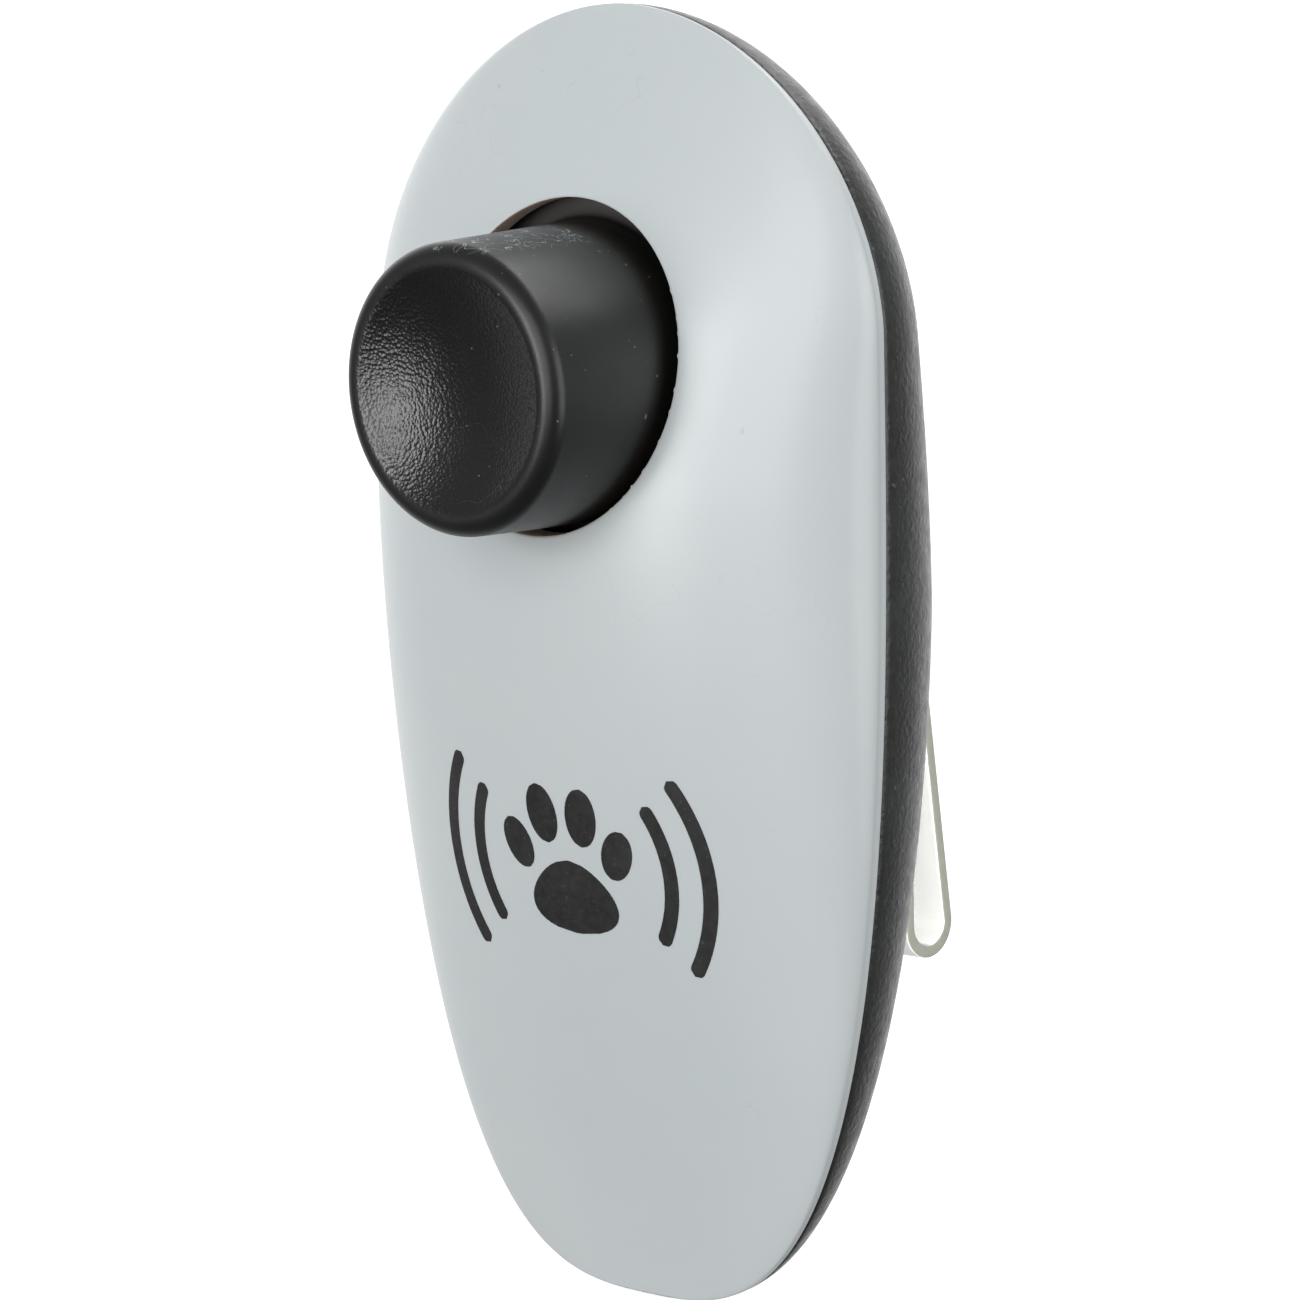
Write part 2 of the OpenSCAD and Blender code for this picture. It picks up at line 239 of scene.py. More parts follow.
def loft(name, rings, ring_closed=False):
    """A solid through rings of equally many points. The ends are closed by fans, or joined to each other."""
    n = len(rings[0])
    points = [tuple(p) for ring in rings for p in ring]
    rows = len(rings)
    faces = []
    for r in range(rows if ring_closed else rows - 1):
        low = r * n
        high = (r + 1) % rows * n
        faces += [(low + i, low + (i + 1) % n, high + (i + 1) % n, high + i) for i in range(n)]
    if not ring_closed:
        for r, turn in ((0, -1), (rows - 1, 1)):
            points.append(tuple(np.mean(rings[r], axis=0)))
            centre = len(points) - 1
            faces += [(centre, r * n + i, r * n + (i + 1) % n)[::turn] for i in range(n)]
    return solid(name, points, faces)


POST_SEGMENTS = 48
SQUARE = ((-1, -1), (1, -1), (1, 1), (-1, 1))


def turns(segments):
    """Angles that step once around a circle."""
    return np.arange(segments) / segments * 2 * math.pi


def circle(r, y, x, z, segments):
    """Points around an axis along Y through (x, z)."""
    a = turns(segments)
    return np.stack([x + r * np.cos(a), np.full(segments, y), z + r * np.sin(a)], 1)


def lathe(name, profile, x, z, segments, hollow=False):
    """A solid turned about an axis along Y, from (radius, y) pairs; a hollow one is a closed loop."""
    return loft(name, [circle(r, y, x, z, segments) for r, y in profile], ring_closed=hollow)


def rod(r, low, high, x, z, segments=POST_SEGMENTS):
    return lathe("rod", [(r, low), (r, high)], x, z, segments)


def rounded(corners, steps=5):
    """A polyline (u, v, radius) with each corner replaced by an arc of that radius."""
    out = []
    for k, (u, v, r) in enumerate(corners):
        here = np.array([u, v], float)
        if r == 0:
            out.append(here)
            continue
        before = np.array(corners[k - 1][:2], float) - here
        after = np.array(corners[(k + 1) % len(corners)][:2], float) - here
        before /= np.linalg.norm(before)
        after /= np.linalg.norm(after)
        half = math.acos(np.clip(before @ after, -1, 1)) / 2
        centre = here + (before + after) / np.linalg.norm(before + after) * r / math.sin(half)
        first = here + before * r / math.tan(half) - centre
        last = here + after * r / math.tan(half) - centre
        sweep = math.atan2(first[0] * last[1] - first[1] * last[0], first @ last)
        for s in np.linspace(0, sweep, steps):
            turn = np.array([[math.cos(s), -math.sin(s)], [math.sin(s), math.cos(s)]])
            out.append(centre + turn @ first)
    return out


def plate_ring(half_width, low, high, inset, y, corner, steps):
    """Outline at depth y of a rounded rectangle, drawn in by the inset."""
    w = half_width - inset
    corners = [(w, low + inset, corner), (w, high - inset, corner),
               (-w, high - inset, corner), (-w, low + inset, corner)]
    return np.array([(u, y, v) for u, v in rounded(corners, steps)])


def combine(base, others, operation):
    """Joins other solids to the base, or cuts them from it."""
    for other in others:
        step = base.modifiers.new("combine", "BOOLEAN")
        step.operation = operation
        step.solver = "MANIFOLD"
        step.object = other
    bpy.context.view_layer.update()
    shown = base.evaluated_get(bpy.context.evaluated_depsgraph_get())
    mesh = bpy.data.meshes.new_from_object(shown)
    base.modifiers.clear()
    base.data = mesh
    for other in others:
        bpy.data.objects.remove(other)
    return base


def joined(name, objects):
    """Separate solids as one piece, such as a pair of screws."""
    bm = bmesh.new()
    for o in objects:
        bm.from_mesh(o.data)
    mesh = bpy.data.meshes.new(name)
    bm.to_mesh(mesh)
    bm.free()
    for o in objects:
        bpy.data.objects.remove(o)
    obj = bpy.data.objects.new(name, mesh)
    scene.collection.objects.link(obj)
    return obj


SHARP_ANGLE = math.radians(32)


def place(obj, nodes, material, body=None):
    """Moves a finished piece into the object's frame, shades it and ties it to the frame."""
    obj.data.transform(Matrix.Diagonal((MM, MM, MM, 1)) @ Matrix.Translation((0, DATUM_Y, 0)))
    obj.data.shade_smooth()
    obj.data.set_sharp_from_angle(angle=SHARP_ANGLE)
    obj.data.materials.clear()
    obj.data.materials.append(material)
    if nodes:
        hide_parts(*nodes)
    if body:
        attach(obj, body)
    return obj


# ---------- materials ----------

def srgb(r, g, b):
    """A linear colour from 0-255 display values."""
    linear = (((c / 255 + 0.055) / 1.055) ** 2.4 if c > 10 else c / 255 / 12.92 for c in (r, g, b))
    return (*linear, 1)


class Finish:
    """A material built from nodes, in object coordinates. Scales of noise and cells are per metre."""

    def __init__(self, name, **shader):
        self.material = bpy.data.materials.new(name)
        self.material.use_nodes = True
        self.tree = self.material.node_tree
        self.shader = self.tree.nodes["Principled BSDF"]
        self.place = self.add("ShaderNodeTexCoord").outputs["Object"]
        for socket, value in shader.items():
            self.shader.inputs[socket.replace("_", " ")].default_value = value

    def add(self, kind, settings=None, **inputs):
        """A node. Its inputs are given by name, or as i0, i1 by number, as sockets or as values."""
        node = self.tree.nodes.new(kind)
        for key, value in (settings or {}).items():
            setattr(node, key, value)
        for key, value in inputs.items():
            numbered = key[0] == "i" and key[1:].isdigit()
            socket = node.inputs[int(key[1:]) if numbered else key.replace("_", " ")]
            if isinstance(value, bpy.types.NodeSocket):
                self.tree.links.new(value, socket)
            else:
                socket.default_value = value
        return node

    def noise(self, scale, detail, rough=0.5, distortion=0.0, at=None):
        return self.add("ShaderNodeTexNoise", Vector=at or self.place, Scale=scale, Detail=detail,
                        Roughness=rough, Distortion=distortion).outputs["Fac"]

    def cells(self, scale, feature):
        return self.add("ShaderNodeTexVoronoi", {"feature": feature}, Vector=self.place,
                        Scale=scale).outputs["Distance"]

    def stretched(self, x, y, z):
        return self.add("ShaderNodeVectorMath", {"operation": "MULTIPLY"},
                        i0=self.place, i1=(x, y, z)).outputs[0]

    def math(self, operation, a, b=0.0):
        return self.add("ShaderNodeMath", {"operation": operation}, i0=a, i1=b).outputs[0]

    def around(self, height):
        """From an axis along Y at this height: distance, height above it, and place along Y."""
        x, y, z = self.add("ShaderNodeSeparateXYZ", Vector=self.place).outputs
        up = self.math("SUBTRACT", z, height * MM)
        squares = self.math("ADD", self.math("MULTIPLY", x, x), self.math("MULTIPLY", up, up))
        return self.math("SQRT", squares), up, y

    def band(self, value, low, high, to_low=0.0, to_high=1.0):
        """Value from low to high, mapped smoothly to the two results."""
        node = self.add("ShaderNodeMapRange", {"interpolation_type": "SMOOTHSTEP"}, Value=value)
        for key, number in (("From Min", low), ("From Max", high), ("To Min", to_low), ("To Max", to_high)):
            node.inputs[key].default_value = number
        return node.outputs[0]

    def mix(self, share, a, b):
        node = self.tree.nodes.new("ShaderNodeMix")
        node.data_type = "RGBA"
        for socket, value in ((node.inputs[0], share), (node.inputs[6], a), (node.inputs[7], b)):
            if isinstance(value, bpy.types.NodeSocket):
                self.tree.links.new(value, socket)
            else:
                socket.default_value = value
        return node.outputs[2]

    def use(self, socket, value):
        self.tree.links.new(value, self.shader.inputs[socket])

    def bump(self, height, depth, strength):
        """Relief of the given depth in millimetres."""
        self.use("Normal", self.add("ShaderNodeBump", Height=height, Distance=depth * MM,
                                    Strength=strength).outputs[0])


def hairlines(finish, scale, width, cover):
    """Sparse thin curved marks: the contour lines of a noise, kept where another noise is high."""
    field = finish.noise(scale, detail=1.0, distortion=0.6)
    line = finish.band(finish.math("ABSOLUTE", finish.math("SUBTRACT", field, 0.5)), width, 0.0)
    where = finish.band(finish.noise(scale * 0.45, detail=0.0), cover, cover + 0.03)
    return finish.math("MULTIPLY", line, where)


def grey_shell():
    f = Finish("satin_grey_plastic", Roughness=0.4, IOR=1.5, Subsurface_Weight=0.12, Subsurface_Scale=0.001)
    f.shader.inputs["Subsurface Radius"].default_value = (1.0, 0.8, 0.7)
    cloud = f.band(f.noise(55, detail=3), 0.35, 0.65)
    colour = f.mix(cloud, srgb(195, 202, 204), srgb(199, 205, 206))
    flecks = f.math("MULTIPLY", f.band(f.noise(900, detail=1), 0.2, 0.16), 0.3)
    marks = f.math("MULTIPLY", hairlines(f, 300, 0.004, 0.64), 0.16)
    colour = f.mix(f.math("MAXIMUM", flecks, marks), colour, srgb(146, 150, 152))
    # painted light: the wall of the button's hole is painted lighter and warmer, standing in for light that
    # shines through the plastic
    radius = f.around(HOLE_Z)[0]
    painted_glow_on_hole_wall = f.band(radius, (HOLE_R + 0.05) * MM, (HOLE_R + 0.01) * MM)
    f.use("Base Color", f.mix(painted_glow_on_hole_wall, colour, srgb(240, 222, 208)))
    f.use("Roughness", f.band(f.noise(2600, detail=3), 0.3, 0.7, 0.28, 0.31))
    f.bump(f.noise(5200, detail=3, rough=0.6), 0.003, 0.4)
    return f.material


def black_shell():
    f = Finish("grained_black_plastic", Roughness=0.35, IOR=1.5)
    worn = f.band(f.noise(140, detail=4), 0.4, 0.75)
    colour = f.mix(worn, srgb(38, 39, 39), srgb(46, 48, 48))
    dust = f.band(f.noise(2900, detail=0), 0.8, 0.86)
    f.use("Base Color", f.mix(f.math("MULTIPLY", dust, 0.35), colour, srgb(120, 122, 122)))
    f.use("Roughness", f.band(f.noise(1500, detail=3), 0.3, 0.7, 0.26, 0.38))
    pebbles = f.math("MULTIPLY", f.cells(3300, "SMOOTH_F1"), 0.9)
    f.bump(f.math("ADD", pebbles, f.noise(5200, detail=3)), 0.026, 0.9)
    return f.material


def black_button():
    f = Finish("spark_grained_black_plastic", Roughness=0.36, IOR=1.5)
    radius, up, y = f.around(BUTTON_Z)
    face_y = (DATUM_Y - BUTTON_REACH) * MM
    # the dish is spark-eroded, the rolled rim and the barrel are smoother
    near_face = f.band(y, face_y + 1.9 * MM, face_y + 1.3 * MM)
    dish = f.math("MULTIPLY", f.band(radius, 5.85 * MM, 5.3 * MM), near_face)
    pebbles = f.math("MULTIPLY", f.cells(6000, "F1"), 1.2)
    grain = f.math("ADD", pebbles, f.math("MULTIPLY", f.noise(5200, detail=2), 0.6))
    f.bump(f.math("MULTIPLY", grain, f.band(dish, 0.0, 1.0, 0.06, 1.0)), 0.015, 1.0)
    f.use("Roughness", f.math("ADD", f.band(f.noise(700, detail=2), 0.3, 0.7, 0.27, 0.3),
                              f.band(dish, 0.0, 1.0, 0.08, -0.05)))
    # handling marks: pale specks, rubbed spots on the rim, fine scratches and scuffs on top of the barrel
    specks = f.math("MULTIPLY", f.band(f.noise(4300, detail=0), 0.84, 0.87), 0.3)
    rub = f.band(f.noise(900, detail=5, rough=0.75, distortion=0.4), 0.68, 0.76)
    rim = f.math("MULTIPLY", f.band(radius, 6.0 * MM, 6.3 * MM),
                 f.band(y, face_y + 1.2 * MM, face_y + 0.3 * MM))
    rub = f.math("MULTIPLY", f.math("MULTIPLY", rub, rim), 0.35)
    top = f.math("MULTIPLY", f.band(up, 6.1 * MM, 6.4 * MM), f.band(y, -5.5 * MM, -6.2 * MM))
    scuffs = f.math("MULTIPLY", hairlines(f, 1500, 0.016, 0.32), top)
    scratches = f.math("MULTIPLY", hairlines(f, 330, 0.0025, 0.6), 0.16)
    light = f.math("MAXIMUM", f.math("MAXIMUM", specks, rub), f.math("MAXIMUM", scuffs, scratches))
    cloud = f.band(f.noise(160, detail=4), 0.4, 0.7)
    colour = f.mix(cloud, srgb(13, 14, 14), srgb(17, 18, 18))
    colour = f.mix(light, colour, srgb(168, 171, 172))
    # painted light: the flange's face, in shade behind the hole, is painted lighter than the rest of the
    # button
    flange_y = (DATUM_Y + FLANGE_FRONT) * MM
    painted_light_on_flange = f.band(y, flange_y - 0.5 * MM, flange_y - 0.1 * MM)
    f.use("Base Color", f.mix(painted_light_on_flange, colour, srgb(70, 68, 66)))
    return f.material


def clip_steel():
    """Satin nickel on the rolled faces and dull on the sheared edges; the side towards the case is painted
    near white, a painted reflection that brightens the inside of the loop.
    """
    f = Finish("nickelled_spring_steel", Metallic=0.62, Roughness=0.4)
    normal = f.add("ShaderNodeTexCoord").outputs["Normal"]
    facing = f.add("ShaderNodeSeparateXYZ", Vector=normal).outputs
    side = f.band(f.math("ABSOLUTE", facing[0]), 0.55, 0.85)
    # painted reflection: faces turned towards the case, inside the loop, get a near-white colour and less
    # metal
    inside = f.band(facing[1], 0.1, -0.2)
    rolled = f.noise(1.0, detail=4, rough=0.7, at=f.stretched(9000, 900, 350))
    stain = f.band(f.noise(300, detail=4), 0.4, 0.75)
    outer = f.mix(stain, srgb(192, 193, 190), srgb(178, 179, 174))
    face = f.mix(inside, outer, srgb(248, 248, 245))
    sheared = f.mix(f.noise(2500, detail=3), srgb(110, 111, 102), srgb(122, 123, 114))
    f.use("Base Color", f.mix(side, face, sheared))
    f.use("Metallic", f.band(f.math("MAXIMUM", side, inside), 0.0, 1.0, 0.9, 0.3))
    duller = f.math("MULTIPLY", side, 0.1)
    f.use("Roughness", f.math("ADD", f.band(rolled, 0.3, 0.7, 0.34, 0.46), duller))
    torn = f.noise(1.0, detail=3, at=f.stretched(1500, 5200, 5200))
    f.bump(f.math("ADD", rolled, f.math("MULTIPLY", torn, side)), 0.006, 0.5)
    return f.material


def plain_steel(name, light, dark, rough, stretch, depth):
    """A metal with a grain that runs along the small factor of the stretch."""
    f = Finish(name, Metallic=1.0, Roughness=rough)
    grain = f.noise(1.0, detail=4, rough=0.65, at=f.stretched(*stretch))
    stain = f.band(f.noise(420, detail=5, rough=0.6), 0.38, 0.72)
    f.use("Base Color", f.mix(stain, light, dark))
    f.use("Roughness", f.band(grain, 0.3, 0.7, rough - 0.08, rough + 0.1))
    f.bump(grain, depth, 0.6)
    return f.material


def ink():
    f = Finish("black_pad_print_ink", Roughness=0.5, IOR=1.5)
    thin = f.band(f.noise(5200, detail=3), 0.62, 0.8)
    patch = f.band(f.noise(350, detail=4), 0.4, 0.7)
    colour = f.mix(patch, srgb(26, 26, 26), srgb(38, 38, 37))
    f.use("Base Color", f.mix(f.math("MULTIPLY", thin, 0.5), colour, srgb(92, 95, 96)))
    f.use("Roughness", f.band(f.noise(2400, detail=2), 0.3, 0.7, 0.4, 0.6))
    f.bump(f.noise(4200, detail=3), 0.006, 0.5)
    return f.material


GREY = grey_shell()
BLACK = black_shell()
BUTTON_BLACK = black_button()
CLIP_STEEL = clip_steel()
INK = ink()
RIVET_STEEL = plain_steel("bright_rivet_steel", srgb(205, 205, 200), srgb(178, 177, 170), 0.26,
                          (3200, 3200, 3200), 0.006)
REED_STEEL = plain_steel("blued_spring_steel", srgb(178, 182, 186), srgb(142, 147, 156), 0.24,
                         (5200, 5200, 420), 0.004)
CLAMP_STEEL = plain_steel("zinc_plated_steel", srgb(196, 198, 194), srgb(164, 168, 170), 0.36,
                          (1600, 1600, 1600), 0.01)
SCREW_STEEL = plain_steel("black_zinc_screw_steel", srgb(150, 150, 148), srgb(112, 113, 114), 0.34,
                          (2600, 2600, 2600), 0.008)


# ---------- case mouldings ----------

def bezier(a, corner, b, steps):
    """Points of a quadratic curve from a to b that rounds the corner."""
    out = []
    for t in np.linspace(0, 1, steps):
        out.append((1 - t) ** 2 * a + 2 * t * (1 - t) * corner + t * t * b)
    return out


def surface(xz, shape, inset):
    """Points (x, y, z) of a dome over points (x, z)."""
    return np.stack([xz[:, 0], shape(xz[:, 0], xz[:, 1], inset), xz[:, 1]], 1)


def rim_rings(last, sign, round_off):
    """Rounded outer corner, flat rim and its inner corner, from the last ring short of the rim."""
    seam = RIM_Y + sign * SEAM / 2
    out_corner = np.insert(outline_at(ANGLES, 0), 1, seam, axis=1)
    flat = np.insert(outline_at(ANGLES, round_off), 1, seam, axis=1)
    inner = np.insert(outline_at(ANGLES, WALL), 1, seam, axis=1)
    return bezier(last, out_corner, flat, 5)[1:] + [inner]


BURR_FROM, BURR_TO = math.radians(-62), math.radians(30)


def burr(angle):
    """Moulding flash left on the edge of the hole: small bumps along its right side."""
    inside = (angle > BURR_FROM) & (angle < BURR_TO)
    wave = np.sin(angle * 61) + np.sin(angle * 97 + 1.3) + np.sin(angle * 149 + 0.4)
    return np.where(inside, np.clip(wave - 1.35, 0, 1) * 0.075, 0)


ROOT_DEPTH = 0.8


def column(x, z, r, end, shape):
    """A post from inside the wall of a dome to a flat end with a broken edge."""
    side = 1 if shape is front_y else -1
    foot = circle(r, 0, x, z, POST_SEGMENTS)[:, [0, 2]]
    rings = [surface(foot, shape, ROOT_DEPTH)]
    for radius, y in ((r, end - side * 0.15), (r - 0.04, end - side * 0.04), (r - 0.15, end)):
        rings.append(circle(radius, y, x, z, POST_SEGMENTS))
    return loft("column", rings)


def front_shell():
    edge = outline_at(ANGLES, 0)
    direction = np.arctan2(edge[:, 1] - HOLE_Z, edge[:, 0])
    spread = np.stack([np.cos(direction), np.sin(direction)], 1)
    hole = np.array([0, HOLE_Z]) + HOLE_R * spread
    flash = np.array([0, HOLE_Z]) + (HOLE_R - burr(direction))[:, None] * spread
    outer = []
    for t in np.linspace(0, 1, 54)[:-1]:
        s = 1 - (1 - t) ** 2.1
        outer.append(surface(hole + (edge - hole) * s, front_y, 0))
    near_rim = surface(hole + (edge - hole) * RIM_START, front_y, 0)
    band = [np.insert(edge, 1, y, axis=1) for y in (0, RIM_Y - 0.12)]
    # the hole's edge is broken by a small curve, and its wall runs straight back
    lip = surface(hole + 0.16 * spread, front_y, 0)
    corner = surface(flash, front_y, 0)
    wall_top = corner + np.array([0, 0.14, 0])
    wall_bottom = np.stack([hole[:, 0], front_y(hole[:, 0], hole[:, 1], WALL), hole[:, 1]], 1)
    opening = bezier(wall_top, corner, lip, 5)
    inner_edge = outline_at(ANGLES, WALL)
    inner = [surface(hole + (inner_edge - hole) * (1 - (1 - t) ** 2), front_y, WALL)
             for t in np.linspace(0, 1, 22)[1:-1]]
    rings = [wall_bottom, (wall_bottom + wall_top) / 2] + opening + outer[2:]
    rings += [near_rim] + band + rim_rings(band[-1], -1, 0.1) + inner[::-1]
    shell = loft("front_shell_visual", rings, ring_closed=True)
    # six posts guide the flange, two bosses take the case screws, a lip locates the other moulding
    post_r, clearance = 0.9, 0.07
    reach = FLANGE_R + clearance + post_r
    added = [column(reach * math.cos(a), BUTTON_Z + reach * math.sin(a), post_r, 2.0, front_y)
             for a in turns(6)]
    added += [column(0, z, BOSS_R, JOINT_Y, front_y) for z in CASE_SCREW_Z]
    lip_rings = []
    for inset, y in ((1.62, None), (1.62, 0.7), (1.72, 0.8), (2.22, 0.8), (2.32, 0.7), (2.32, None)):
        at = outline_at(ANGLES, inset)
        root = np.maximum(-1.4, front_y(at[:, 0], at[:, 1]) + 0.4)
        lip_rings.append(np.insert(at, 1, root if y is None else y, axis=1))
    added.append(loft("register_lip", lip_rings, ring_closed=True))
    combine(shell, added, "UNION")
    holes = [rod(SCREW_R, SEAT_Y - SCREW_LENGTH - 0.2, JOINT_Y + 1, 0, z) for z in CASE_SCREW_Z]
    return combine(shell, holes, "DIFFERENCE")


def back_shell():
    crest = np.array([0, BACK_CREST_Z])
    edge = outline_at(ANGLES, 0)
    inner_edge = outline_at(ANGLES, WALL)
    outer = [surface(crest + (edge - crest) * math.sin(math.pi / 2 * t), back_y, 0)
             for t in np.linspace(0, 1, 56)[1:-1]]
    near_rim = surface(crest + (edge - crest) * RIM_START, back_y, 0)
    outer = [ring for ring in outer if ring[0, 0] < near_rim[0, 0] - 0.02]
    inner = [surface(crest + (inner_edge - crest) * math.sin(math.pi / 2 * t), back_y, WALL)
             for t in np.linspace(0, 1, 26)[1:-1]]
    shell = loft("back_shell_visual", outer + [near_rim] + rim_rings(near_rim, 1, 0.14) + inner[::-1])
    # the raised seat of the clip, with a rounded edge
    rounding = ((0, PAD_INNER_Y), (0, CLIP_SEAT - 0.35), (0.1, CLIP_SEAT - 0.1), (0.35, CLIP_SEAT))
    added = [loft("clip_pad", [plate_ring(PAD_HALF_WIDTH, *PAD_Z, inset, y, 1.5, 9)
                               for inset, y in rounding])]
    added += [column(0, z, HEAD_R + 0.95, JOINT_Y, back_y) for z in CASE_SCREW_Z]
    added += [column(0, z, BOSS_R, REED_Y + REED_THICKNESS / 2, back_y) for z in REED_SCREW_Z]
    added += [column(x, BUTTON_Z, 1.1, 1.95, back_y) for x in (-7, 7)]
    combine(shell, added, "UNION")
    cuts = [rod(SCREW_R + 0.1, 0, BACK_DEPTH, 0, z) for z in CASE_SCREW_Z]
    cuts += [rod(HEAD_R + 0.2, SEAT_Y, BACK_DEPTH + 1, 0, z, 96) for z in CASE_SCREW_Z]
    cuts += [rod(SCREW_R, 0, REED_Y + SCREW_LENGTH, 0, z) for z in REED_SCREW_Z]
    cuts += [rod(RIVET_R, PAD_INNER_Y - 1, CLIP_SEAT + 1, x, RIVET_Z) for x in (-RIVET_X, RIVET_X)]
    return combine(shell, cuts, "DIFFERENCE")


# ---------- button ----------

def button():
    """The cap turned as one profile: dish, rolled rim, drafted barrel, flange and bore."""
    face = -BUTTON_REACH
    base = FLANGE_FRONT
    roof = face + DISH_DEPTH + FACE_THICKNESS
    # the dish meets the rolled rim where both have the same slope
    roll_r = BUTTON_R - RIM_ROLL
    meet = math.atan(2 * DISH_DEPTH / roll_r)
    edge_r = roll_r - RIM_ROLL * math.sin(meet)
    edge_y = face + RIM_ROLL * (1 - math.cos(meet))
    floor_y = face + DISH_DEPTH
    profile = [(r, floor_y - (floor_y - edge_y) * (r / edge_r) ** 2)
               for r in np.linspace(0.25, edge_r, 24)[:-1]]
    profile += [(roll_r + RIM_ROLL * math.sin(a), face + RIM_ROLL * (1 - math.cos(a)))
                for a in np.linspace(-meet, math.radians(88), 26)]
    profile += rounded([(BUTTON_R, face + 2, 0),
                        (BUTTON_BASE_R, base, 0.8),
                        (FLANGE_R, base, 0.25),
                        (FLANGE_R, base + FLANGE_THICKNESS, 0.15),
                        (BORE_R, base + FLANGE_THICKNESS, 0.15),
                        (BORE_R - BUTTON_DRAFT, roof, 0.3),
                        (STEM_R * 0.5, roof, 0)], 7)[1:]
    cap = lathe("button_visual", profile, 0, BUTTON_Z, 160)
    tip = REED_Y - REED_THICKNESS / 2 - 0.05
    ball = [(STEM_R * math.cos(a), tip - STEM_R + STEM_R * math.sin(a)) for a in np.linspace(0, 1.5, 12)]
    added = [lathe("stem", [(STEM_R, roof - 0.3)] + ball, 0, BUTTON_Z, 64)]
    for k in range(4):
        a = math.radians(90 * k)
        along = np.array([math.cos(a), 0, math.sin(a)])
        across_web = np.array([-math.sin(a), 0, math.cos(a)])
        rings = []
        near, far = 1.3, BORE_R + 0.2
        for y in (roof - 0.3, base - 0.15, base):
            half = 0.4 if y < base else 0.3
            rings.append([along * u + across_web * v + np.array([0, y, BUTTON_Z])
                          for u, v in ((near, -half), (far, -half), (far, half), (near, half))])
        added.append(loft("web", rings))
    return combine(cap, added, "UNION")


# ---------- screws, rivets and washers ----------

def threaded(z, head_seat, out):
    """A pan-head screw along Y, its head on the seat and towards out, which is 1 or -1."""
    segments = 40
    top = head_seat + out * HEAD_HEIGHT
    head = rounded([(SCREW_R * 0.8, head_seat, 0), (HEAD_R, head_seat, 0.12),
                    (HEAD_R - 0.1, top, 0.55), (0.3, top, 0)], 7)
    turned = lathe("head", [tuple(p) for p in head], 0, z, 72)
    rings = []
    start = head_seat + out * 0.2
    for d in np.linspace(0, SCREW_LENGTH + 0.2, 64):
        phase = (d / THREAD_PITCH - turns(segments) / (2 * math.pi)) % 1
        cut = np.abs(phase - 0.5) * 2
        fade = min(1.0, (SCREW_LENGTH + 0.2 - d) / 0.7) * min(1.0, max(0.0, d - 0.25) / 0.2)
        core = SCREW_R * (THREAD_CORE if d > 0.25 else 0.9)
        taper = 1 - 0.35 * max(0.0, d - SCREW_LENGTH + 0.3) / 0.5
        r = taper * (core + (SCREW_R - core) * fade * (1 - cut))
        rings.append(circle(r, start - out * d, 0, z, segments))
    shank = loft("shank", rings)
    combine(turned, [shank], "UNION")
    slots = []
    for k in (0, 1):
        u = np.array([1.0, 0, 0]) if k else np.array([0, 0, 1.0])
        v = np.array([0, 0, 1.0]) if k else np.array([1.0, 0, 0])
        middle = np.array([0, 0, z])
        rings = []
        for depth, long, wide in ((0.62, 0.35, 0.12), (-0.1, 1.0, 0.19)):
            y = np.array([0, top - out * depth, 0])
            rings.append([middle + y + u * p * long + v * q * wide for p, q in SQUARE])
        slots.append(loft("recess", rings))
    combine(slots[0], [slots[1]], "UNION")
    return combine(turned, [slots[0]], "DIFFERENCE")


def rivet(x):
    """A semi-tubular rivet: low domed head outside, shank, rolled closing head on the washer."""
    seat = CLIP_SEAT + CLIP_THICKNESS
    ball = (RIVET_HEAD_R ** 2 + RIVET_HEAD_HEIGHT ** 2) / (2 * RIVET_HEAD_HEIGHT)
    widest = math.asin(RIVET_HEAD_R / ball)
    dome = [(ball * math.sin(a), seat + RIVET_HEAD_HEIGHT - ball + ball * math.cos(a))
            for a in np.linspace(0.02, widest - 0.03, 16)]
    inside = PAD_INNER_Y - WASHER_THICKNESS
    body = rounded([(RIVET_HEAD_R, seat + 0.06, 0), (RIVET_HEAD_R - 0.05, seat, 0), (RIVET_R, seat, 0.05),
                    (RIVET_R, inside, 0.05), (RIVET_R * 1.5, inside, 0.15),
                    (RIVET_R * 1.4, inside - 0.6, 0.2), (0.55, inside - 0.5, 0.1),
                    (0.45, inside - 0.05, 0.05), (0.1, inside, 0)])
    return lathe("rivet", dome + [tuple(p) for p in body], x, RIVET_Z, 72)


def washer(x):
    ring = rounded([(RIVET_R, PAD_INNER_Y, 0.06), (WASHER_R, PAD_INNER_Y, 0.1),
                    (WASHER_R, PAD_INNER_Y - WASHER_THICKNESS, 0.15),
                    (RIVET_R, PAD_INNER_Y - WASHER_THICKNESS, 0.06)])
    return lathe("washer", [tuple(p) for p in ring], x, RIVET_Z, 64, hollow=True)


# ---------- sheet-metal pieces ----------

def section_points(half_width, half_thickness):
    """A rectangle with rounded corners and a few points along its long sides."""
    corners = rounded([(half_width, -half_thickness, SHEET_EDGE), (half_width, half_thickness, SHEET_EDGE),
                       (-half_width, half_thickness, SHEET_EDGE), (-half_width, -half_thickness, SHEET_EDGE)])
    points = []
    for k, p in enumerate(corners):
        points.append(p)
        after = corners[(k + 1) % len(corners)]
        if abs(after[0] - p[0]) > 1:
            points += [p + (after - p) * t for t in np.linspace(0, 1, 14)[1:-1]]
    return points


